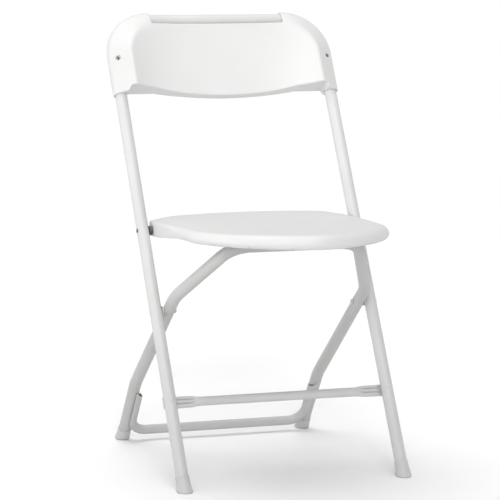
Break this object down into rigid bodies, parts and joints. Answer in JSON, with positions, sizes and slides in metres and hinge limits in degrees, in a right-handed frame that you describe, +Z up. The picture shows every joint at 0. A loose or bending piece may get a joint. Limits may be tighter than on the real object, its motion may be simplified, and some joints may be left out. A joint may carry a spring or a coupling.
{
  "type": "folding chair",
  "caption": "Folding chair with a bent steel tube frame, a moulded plastic seat with a rounded front and a curved moulded backrest.",
  "frame": {"origin": "on the floor, under the middle of the chair's box", "axes": "+Z up, -Y the way the chair faces, +X the sitter's left"},
  "size_m": [0.4444, 0.5921, 0.806],
  "materials": {
    "tube_coat": "smooth powder coat, satin",
    "back_plastic": "moulded, finely textured",
    "seat_plastic": "moulded, finely textured",
    "foot_plastic": "moulded, satin",
    "nylon": "moulded, smooth",
    "coated_rivet": "powder coated with the frame",
    "screw_steel": "bright zinc",
    "zinc_plate": "bright zinc",
    "rivet_steel": "bright zinc"
  },
  "bodies": {
    "frame": {"front_frame_tube": "tube_coat", "front_cross_bar": "tube_coat", "cross_bar_rivets": "coated_rivet", "backrest_shell": "back_plastic", "backrest_screws": "screw_steel", "front_foot_left": "foot_plastic", "front_foot_right": "foot_plastic", "seat_rivet_left": "rivet_steel", "seat_rivet_right": "rivet_steel", "seat_spacer_left": "rivet_steel", "seat_spacer_right": "rivet_steel", "leg_rivet_left": "rivet_steel", "leg_rivet_right": "rivet_steel", "leg_spacer_left": "rivet_steel", "leg_spacer_right": "rivet_steel"},
    "rear_legs": {"rear_leg_tube": "tube_coat", "rear_brace": "tube_coat", "rear_foot_left": "foot_plastic", "rear_foot_right": "foot_plastic"},
    "seat": {"seat_shell": "seat_plastic", "seat_bracket_left": "zinc_plate", "seat_bracket_right": "zinc_plate", "bracket_screws": "screw_steel", "guide_channel_left": "zinc_plate", "guide_channel_right": "zinc_plate", "channel_screws": "screw_steel"},
    "shoes": {"slide_shoe_left": "nylon", "slide_shoe_right": "nylon"}
  },
  "joints": [
    {"name": "seat_fold", "type": "hinge", "parent": "frame", "child": "seat", "pos_m": [0, 0.06793, 0.426], "axis": [-1, 0, 0], "range_deg": [0, 110]},
    {"name": "leg_fold", "type": "hinge", "parent": "frame", "child": "rear_legs", "pos_m": [0, -0.01037, 0.292], "axis": [-1, 0, 0], "range_deg": [0, 69.52]},
    {"name": "shoe_slide", "type": "slide", "parent": "seat", "child": "shoes", "axis": [0, 0.9909, -0.1349], "range_m": [0, 0.18233]}
  ],
  "couplings": [
    {"joint": "leg_fold", "follows": "seat_fold", "ratio": 0.63182},
    {"joint": "shoe_slide", "follows": "seat_fold", "m_per_rad": 0.094962}
  ]
}
